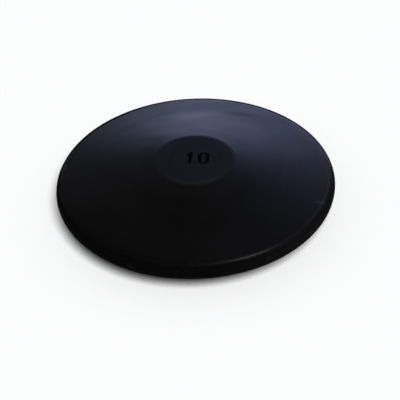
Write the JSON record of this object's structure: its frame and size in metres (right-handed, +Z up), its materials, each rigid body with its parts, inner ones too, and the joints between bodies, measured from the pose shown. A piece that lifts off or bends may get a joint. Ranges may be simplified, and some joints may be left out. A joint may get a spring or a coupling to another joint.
{
  "type": "discus",
  "caption": "Rubber practice discus: a tapered round body with a level flat at the centre of each face and a full-round rim, moulded round a flat steel weight.",
  "frame": {"origin": "centre of the lower centre flat, on the surface that the discus rests on", "axes": "+Z up along the axis of symmetry, from the lower centre flat to the upper one; +X to the right and +Y away from the viewer of the picture"},
  "size_m": [0.18, 0.18, 0.038],
  "materials": {
    "rubber": "smooth black moulded rubber with a soft sheen and a faint bloom",
    "core_steel": "laser-cut plate, deburred"
  },
  "bodies": {
    "root": {"rubber_upper_half": "rubber", "rubber_lower_half": "rubber", "steel_core": "core_steel"}
  },
  "joints": []
}
